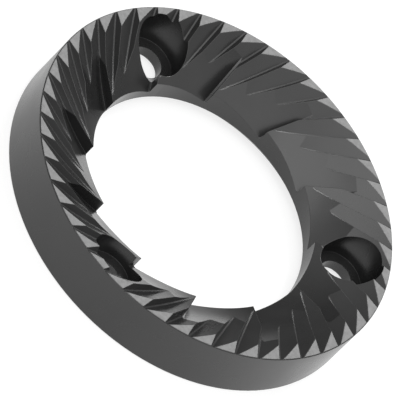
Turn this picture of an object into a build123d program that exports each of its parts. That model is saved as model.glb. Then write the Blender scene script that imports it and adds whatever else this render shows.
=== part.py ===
# Flat grinding burr of a coffee grinder: one machined steel ring with a toothed face.
# Millimetres, +Z up. The origin is on the bore axis, on the flat back face.
# The teeth face up, and the first screw hole lies on +X.

from build123d import *
import os
from math import acos, asin, cos, degrees, radians, sin, tan

# Ring blank
outer_diameter = 64.0
thickness = 9.7
bore_diameter = 40.4
bore_back_chamfer = 1.9
rim_edge_break = 0.15

# Fine grooves, ground with a V-edged wheel, which leave the cutting teeth between them
fine_groove_count = 48
fine_groove_skew = 28.9
fine_groove_rim_depth = 0.12
fine_groove_rim_plunge = 19.3
fine_wheel_diameter = 150.0
fine_wheel_edge_width = 0.25
fine_steep_flank_angle = 56.6
fine_gentle_flank_angle = 33.2

# Large grooves near the bore, ground with a wheel that has one flat side and one cone side
fine_grooves_per_large = 4
first_large_groove = 3
large_groove_skew = 12.6
large_groove_bore_angle = 12.6
large_groove_bore_depth = 6.25
large_groove_bore_plunge = 22.0
large_wheel_diameter = 64.0
large_wheel_width = 14.4
large_wheel_edge_width = 0.35
large_wheel_cone_angle = 28.4

# Screw holes
screw_count = 3
screw_circle_diameter = 52.0
screw_hole_diameter = 5.8
screw_head_bore_diameter = 9.4
screw_head_bore_depth = 7.0
screw_hole_back_chamfer = 0.8

# How far a cutter runs past the surface that it enters or leaves
cutter_overrun = 1.0

# Sizes that follow from those above
outer_radius = outer_diameter / 2
bore_radius = bore_diameter / 2
fine_groove_pitch = 360 / fine_groove_count
large_groove_count = fine_groove_count // fine_grooves_per_large
large_groove_pitch = 360 / large_groove_count


def ring_blank():
    """The turned ring, with its bore, back chamfer and broken rims."""
    section = Polyline(
        (bore_radius, thickness),
        (outer_radius - rim_edge_break, thickness),
        (outer_radius, thickness - rim_edge_break),
        (outer_radius, rim_edge_break),
        (outer_radius - rim_edge_break, 0),
        (bore_radius + bore_back_chamfer, 0),
        (bore_radius, bore_back_chamfer),
        close=True,
    )
    return revolve(Plane.XZ * make_face(section), Axis.Z)


def inward(skew):
    """The level direction in which a groove runs from the rim towards the bore."""
    return Vector(-cos(radians(skew)), sin(radians(skew)), 0)


def across(skew):
    """The level direction square to a groove, which is also the axis of its wheel."""
    return Vector(-sin(radians(skew)), -cos(radians(skew)), 0)


def wheel_centre(floor_point, skew, plunge, wheel_radius):
    """The centre of a wheel that touches the floor point while its floor falls at the plunge angle."""
    level = inward(skew) * (wheel_radius * sin(radians(plunge)))
    upright = Vector(0, 0, wheel_radius * cos(radians(plunge)))
    return floor_point + level + upright


def wheel(outline, centre, skew, first_angle, arc):
    """A wheel's outline, of radius and place along its axis, swung inward from an angle off straight down."""
    down = Vector(0, 0, -cos(radians(first_angle))) - inward(skew) * sin(radians(first_angle))
    plane = Plane(origin=centre, x_dir=down, z_dir=down.cross(across(skew)))
    return revolve(plane * make_face(Polyline(*outline, close=True)), Axis(centre, -across(skew)), arc)


def fine_groove_cutter():
    """The V-edged wheel from just outside the rim to where it passes the burr's axis."""
    radius = fine_wheel_diameter / 2
    rim_floor = Vector(outer_radius, 0, thickness - fine_groove_rim_depth)
    centre = wheel_centre(rim_floor, fine_groove_skew, fine_groove_rim_plunge, radius)
    travel = outer_radius * cos(radians(fine_groove_skew)) / radius
    last_angle = degrees(asin(sin(radians(fine_groove_rim_plunge)) - travel))
    first_angle = fine_groove_rim_plunge + degrees(cutter_overrun / radius)
    greatest_depth = fine_groove_rim_depth + radius * (1 - cos(radians(fine_groove_rim_plunge)))
    height = greatest_depth + cutter_overrun
    half_edge = fine_wheel_edge_width / 2
    outline = [
        (radius, half_edge),
        (radius - height, half_edge + height / tan(radians(fine_steep_flank_angle))),
        (radius - height, -half_edge - height / tan(radians(fine_gentle_flank_angle))),
        (radius, -half_edge),
    ]
    return wheel(outline, centre, fine_groove_skew, first_angle, first_angle - last_angle)


def large_groove_cutter():
    """The wheel whose flat side leaves an upright wall and whose cone side leaves a broad ramp.

    It cuts from where it enters the toothed face to the lowest point of its path, inside the bore.
    """
    radius = large_wheel_diameter / 2
    angle = radians(large_groove_bore_angle)
    floor_height = thickness - large_groove_bore_depth
    bore_floor = Vector(bore_radius * cos(angle), bore_radius * sin(angle), floor_height)
    centre = wheel_centre(bore_floor, large_groove_skew, large_groove_bore_plunge, radius)
    centre_above_face = centre.Z - thickness
    first_angle = degrees(acos(centre_above_face / radius) + cutter_overrun / radius)
    top = centre_above_face - cutter_overrun
    cone_width = large_wheel_width - large_wheel_edge_width
    outline = [
        (top, 0),
        (radius, 0),
        (radius, -large_wheel_edge_width),
        (radius - cone_width * tan(radians(large_wheel_cone_angle)), -large_wheel_width),
        (top, -large_wheel_width),
    ]
    return wheel(outline, centre, large_groove_skew, first_angle, first_angle)


def screw_hole_cutter():
    """Through hole with a flat-bottomed bore for the screw head and a small back chamfer."""
    hole_radius = screw_hole_diameter / 2
    floor_height = thickness - screw_head_bore_depth
    section = Polyline(
        (0, -cutter_overrun),
        (hole_radius + screw_hole_back_chamfer + cutter_overrun, -cutter_overrun),
        (hole_radius, screw_hole_back_chamfer),
        (hole_radius, floor_height),
        (screw_head_bore_diameter / 2, floor_height),
        (screw_head_bore_diameter / 2, thickness + cutter_overrun),
        (0, thickness + cutter_overrun),
        close=True,
    )
    cutter = revolve(Plane.XZ * make_face(section), Axis.Z)
    return Pos(screw_circle_diameter / 2, 0, 0) * cutter


def burr():
    """The finished ring: blank, fine grooves, large grooves, then screw holes."""
    fine_cutter = fine_groove_cutter()
    large_cutter = large_groove_cutter()
    hole_cutter = screw_hole_cutter()
    cutters = [Rot(0, 0, i * fine_groove_pitch) * fine_cutter for i in range(fine_groove_count)]
    for i in range(large_groove_count):
        turn = first_large_groove * fine_groove_pitch + i * large_groove_pitch
        cutters.append(Rot(0, 0, turn) * large_cutter)
    for i in range(screw_count):
        cutters.append(Rot(0, 0, i * 360 / screw_count) * hole_cutter)
    return ring_blank() - cutters


os.makedirs("parts", exist_ok=True)
export_step(burr(), "parts/burr.step")
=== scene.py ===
"""Studio scene for the coffee grinder burr: its coated steel finish, floor, sky, lamps and camera."""

import math

import bpy
from mathutils import Matrix, Vector


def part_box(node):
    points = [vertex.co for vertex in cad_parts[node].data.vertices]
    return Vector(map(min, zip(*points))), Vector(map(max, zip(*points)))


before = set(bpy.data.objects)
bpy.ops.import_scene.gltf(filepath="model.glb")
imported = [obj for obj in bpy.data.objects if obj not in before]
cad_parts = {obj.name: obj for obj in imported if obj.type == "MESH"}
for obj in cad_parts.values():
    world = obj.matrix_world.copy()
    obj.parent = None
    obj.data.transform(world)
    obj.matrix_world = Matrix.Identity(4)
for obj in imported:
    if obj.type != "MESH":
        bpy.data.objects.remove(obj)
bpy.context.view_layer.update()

# Camera, at the photograph's viewing angle
CAMERA_AZIMUTH = math.radians(214.84)
CAMERA_ELEVATION = math.radians(43.45)
CAMERA_ROLL = math.radians(45.18)
CAMERA_DISTANCE = 1.328
CAMERA_AIM = Vector((-0.00177, 0.00245, 0.0070))
CAMERA_LENS = 769.3
SENSOR_WIDTH = 36.0

# Floor, a hair below the back face so that the two don't share a plane
FLOOR_SIZE = 3.0
FLOOR_COLOUR = 0.30
FLOOR_GLOW = 0.78
FLOOR_GAP = 0.00005

# Sky: its strength rises with height, the sine of the elevation, from the low height to the zenith,
# and leans towards the bright side by a share of itself
LOW_HEIGHT = 0.3
ZENITH_HEIGHT = 1.0
HORIZON_STRENGTH = 0.24
ZENITH_STRENGTH = 1.3
BRIGHT_SIDE = math.radians(265)
BRIGHT_SHARE = 0.45

# Lamps: their elevations are above the horizon and their sizes and distance are in metres
LAMP_DISTANCE = 0.9
BACK_LAMP_ELEVATION = math.radians(44)
BACK_LAMP_SIZE = 0.36
BACK_LAMP_POWER = 3.9
KEY_LAMP_ELEVATION = math.radians(62)
KEY_LAMP_TURN = math.radians(-10)
KEY_LAMP_SIZE = 0.7
KEY_LAMP_POWER = 1.8

# Middle range of a noise, stretched over the whole swing of what it drives
NOISE_RANGE = (0.35, 0.65)

# Coated steel: each swing is a share of its middle value
COAT_COLOUR = 0.018
COAT_COLOUR_SWING = 0.4
COAT_IOR = 1.6
COAT_ROUGHNESS = 0.28
COAT_ROUGHNESS_SWING = 0.357
PATCH_SCALE = 90.0
PATCH_DETAIL = 4.0

# Paler, rougher lands at the tips of the teeth, found by their depth below the highest point
LAND_DEPTH = 0.00004
LAND_COLOUR = 0.085
LAND_COLOUR_SWING = 0.5
LAND_ROUGHNESS = 0.45
SPECKLE_SCALE = 1500.0
SPECKLE_DETAIL = 2.0

# Worn edges with a painted highlight: a lighter colour where the normal rounded over the edge radius
# leaves the face's own
WEAR_AND_HIGHLIGHT_COLOUR = 0.07
EDGE_RADIUS = 0.0001
EDGE_SAMPLES = 8
EDGE_BEND_LEAST = 0.99
EDGE_BEND_MOST = 0.85
WEAR_AND_HIGHLIGHT_LEAST = 0.2

# Fine grain of the coating
GRAIN_SCALE = 2600.0
GRAIN_DETAIL = 3.0
GRAIN_STRENGTH = 0.06
GRAIN_DEPTH = 0.00004


def direction(azimuth, elevation):
    level = math.cos(elevation)
    return Vector((math.sin(azimuth) * level, -math.cos(azimuth) * level, math.sin(elevation)))


class Nodes:
    """Short calls for adding and linking shader nodes in one tree."""

    def __init__(self, tree):
        self.tree = tree
        tree.nodes.clear()

    def add(self, kind, **settings):
        node = self.tree.nodes.new(kind)
        for name, value in settings.items():
            setattr(node, name, value)
        return node

    def feed(self, value, node, name):
        """Link a socket to an input, or set the input to a number."""
        if isinstance(value, bpy.types.NodeSocket):
            self.tree.links.new(value, node.inputs[name])
        else:
            node.inputs[name].default_value = value

    def noise(self, coordinates, scale, detail):
        node = self.add("ShaderNodeTexNoise")
        self.feed(coordinates, node, "Vector")
        self.feed(scale, node, "Scale")
        self.feed(detail, node, "Detail")
        return node.outputs["Fac"]

    def remap(self, value, from_range, to_range):
        """The value stretched from one range to another, and held at its ends."""
        node = self.add("ShaderNodeMapRange")
        self.feed(value, node, "Value")
        names = ("From Min", "From Max", "To Min", "To Max")
        for name, number in zip(names, (*from_range, *to_range)):
            self.feed(number, node, name)
        return node.outputs["Result"]

    def blend(self, factor, low, high):
        """A number that goes from low to high as the factor goes from 0 to 1."""
        node = self.add("ShaderNodeMix", data_type="FLOAT")
        self.feed(factor, node, "Factor")
        self.feed(low, node, "A")
        self.feed(high, node, "B")
        return node.outputs["Result"]

    def maths(self, operation, a, b):
        node = self.add("ShaderNodeMath", operation=operation)
        self.feed(a, node, 0)
        self.feed(b, node, 1)
        return node.outputs["Value"]

    def dot(self, a, b):
        node = self.add("ShaderNodeVectorMath", operation="DOT_PRODUCT")
        self.feed(a, node, 0)
        self.feed(b, node, 1)
        return node.outputs["Value"]

    def height_in(self, coordinates):
        node = self.add("ShaderNodeSeparateXYZ")
        self.feed(coordinates, node, "Vector")
        return node.outputs["Z"]


def grey(value):
    return (value, value, value, 1.0)


def swing(middle, share):
    """The range that lies a share of the middle value wide around it."""
    return (middle * (1 - share / 2), middle * (1 + share / 2))


def coated_steel():
    """Dark semi-gloss coating on machined steel, worn and painted with a lighter highlight along the
    edges, and paler on the lands.
    """
    material = bpy.data.materials.new("coated_steel")
    material.use_nodes = True
    n = Nodes(material.node_tree)
    output = n.add("ShaderNodeOutputMaterial")
    shader = n.add("ShaderNodeBsdfPrincipled")
    n.feed(shader.outputs["BSDF"], output, "Surface")
    n.feed(COAT_IOR, shader, "IOR")
    place = n.add("ShaderNodeTexCoord").outputs["Object"]

    patches = n.noise(place, PATCH_SCALE, PATCH_DETAIL)
    speckle = n.noise(place, SPECKLE_SCALE, SPECKLE_DETAIL)
    grain = n.noise(place, GRAIN_SCALE, GRAIN_DETAIL)

    rounded = n.add("ShaderNodeBevel", samples=EDGE_SAMPLES)
    n.feed(EDGE_RADIUS, rounded, "Radius")
    flat = n.add("ShaderNodeNewGeometry").outputs["Normal"]
    bend = n.dot(rounded.outputs["Normal"], flat)
    edge = n.remap(bend, (EDGE_BEND_LEAST, EDGE_BEND_MOST), (0.0, 1.0))
    # Edge mask for the lighter colour, partly coating wear and partly a painted highlight along the
    # edges
    wear_and_highlight = n.maths("MULTIPLY", edge, n.remap(patches, NOISE_RANGE, (WEAR_AND_HIGHLIGHT_LEAST, 1.0)))

    land = n.maths("GREATER_THAN", n.height_in(place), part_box("burr")[1].z - LAND_DEPTH)
    coat_colour = n.remap(patches, NOISE_RANGE, swing(COAT_COLOUR, COAT_COLOUR_SWING))
    land_colour = n.remap(speckle, NOISE_RANGE, swing(LAND_COLOUR, LAND_COLOUR_SWING))
    colour = n.blend(wear_and_highlight, n.blend(land, coat_colour, land_colour), WEAR_AND_HIGHLIGHT_COLOUR)
    n.feed(colour, shader, "Base Color")

    coat_roughness = n.remap(patches, NOISE_RANGE, swing(COAT_ROUGHNESS, COAT_ROUGHNESS_SWING))
    n.feed(n.blend(land, coat_roughness, LAND_ROUGHNESS), shader, "Roughness")

    bump = n.add("ShaderNodeBump")
    n.feed(GRAIN_STRENGTH, bump, "Strength")
    n.feed(GRAIN_DEPTH, bump, "Distance")
    n.feed(grain, bump, "Height")
    n.feed(rounded.outputs["Normal"], bump, "Normal")
    n.feed(bump.outputs["Normal"], shader, "Normal")
    return material


def floor_finish():
    """Matt white, with a glow seen by the camera and by mirror-like rays but not lighting the burr."""
    material = bpy.data.materials.new("floor_paper")
    material.use_nodes = True
    n = Nodes(material.node_tree)
    output = n.add("ShaderNodeOutputMaterial")
    paper = n.add("ShaderNodeBsdfDiffuse")
    n.feed(grey(FLOOR_COLOUR), paper, "Color")
    glow = n.add("ShaderNodeEmission")
    rays = n.add("ShaderNodeLightPath").outputs
    seen = n.maths("MAXIMUM", rays["Is Camera Ray"], rays["Is Glossy Ray"])
    seen = n.maths("MAXIMUM", seen, rays["Is Transmission Ray"])
    n.feed(n.maths("MULTIPLY", seen, FLOOR_GLOW), glow, "Strength")
    both = n.add("ShaderNodeAddShader")
    n.feed(paper.outputs["BSDF"], both, 0)
    n.feed(glow.outputs["Emission"], both, 1)
    n.feed(both.outputs["Shader"], output, "Surface")
    return material


def make_floor():
    """A level sheet of paper, which is stage and not part of the burr."""
    bpy.ops.mesh.primitive_plane_add(size=FLOOR_SIZE, location=(0, 0, -FLOOR_GAP))
    floor = bpy.context.object
    floor.name = "floor"
    floor.data.materials.append(floor_finish())


def make_lamp(name, azimuth, elevation, size, power):
    """A square softbox at the lamp distance, facing the burr."""
    lamp = bpy.data.objects.new(name, bpy.data.lights.new(name, "AREA"))
    bpy.context.scene.collection.objects.link(lamp)
    towards = direction(azimuth, elevation)
    lamp.location = towards * LAMP_DISTANCE
    lamp.rotation_euler = towards.to_track_quat("Z", "Y").to_euler()
    lamp.data.size = size
    lamp.data.energy = power


def make_world():
    """A soft grey sky, brighter overhead and on one side."""
    world = bpy.data.worlds.new("studio")
    world.use_nodes = True
    n = Nodes(world.node_tree)
    output = n.add("ShaderNodeOutputWorld")
    background = n.add("ShaderNodeBackground")
    n.feed(grey(1.0), background, "Color")
    towards = n.add("ShaderNodeTexCoord").outputs["Generated"]
    height = n.height_in(towards)
    rise = n.remap(height, (LOW_HEIGHT, ZENITH_HEIGHT), (HORIZON_STRENGTH, ZENITH_STRENGTH))
    lean = n.dot(towards, direction(BRIGHT_SIDE, 0) * BRIGHT_SHARE)
    n.feed(n.maths("MULTIPLY", rise, n.maths("ADD", lean, 1.0)), background, "Strength")
    n.feed(background.outputs["Background"], output, "Surface")
    bpy.context.scene.world = world


def make_camera():
    """The camera looks from its direction at the aim point, rolled about its own line of sight."""
    back = direction(CAMERA_AZIMUTH, CAMERA_ELEVATION)
    level = Vector((-back.y, back.x, 0)).normalized()
    upright = back.cross(level)
    right = level * math.cos(CAMERA_ROLL) + upright * math.sin(CAMERA_ROLL)
    turn = Matrix((right, back.cross(right), back)).transposed().to_4x4()
    camera = bpy.data.objects.new("camera", bpy.data.cameras.new("camera"))
    bpy.context.scene.collection.objects.link(camera)
    camera.matrix_world = Matrix.Translation(CAMERA_AIM + back * CAMERA_DISTANCE) @ turn
    camera.data.sensor_width = SENSOR_WIDTH
    camera.data.lens = CAMERA_LENS
    bpy.context.scene.camera = camera


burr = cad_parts["burr"]
burr.data.materials.clear()
burr.data.materials.append(coated_steel())
make_floor()
make_world()
make_lamp("back_lamp", CAMERA_AZIMUTH + math.pi, BACK_LAMP_ELEVATION, BACK_LAMP_SIZE, BACK_LAMP_POWER)
make_lamp("key_lamp", CAMERA_AZIMUTH + KEY_LAMP_TURN, KEY_LAMP_ELEVATION, KEY_LAMP_SIZE, KEY_LAMP_POWER)
make_camera()
bpy.context.scene.view_settings.view_transform = "Standard"
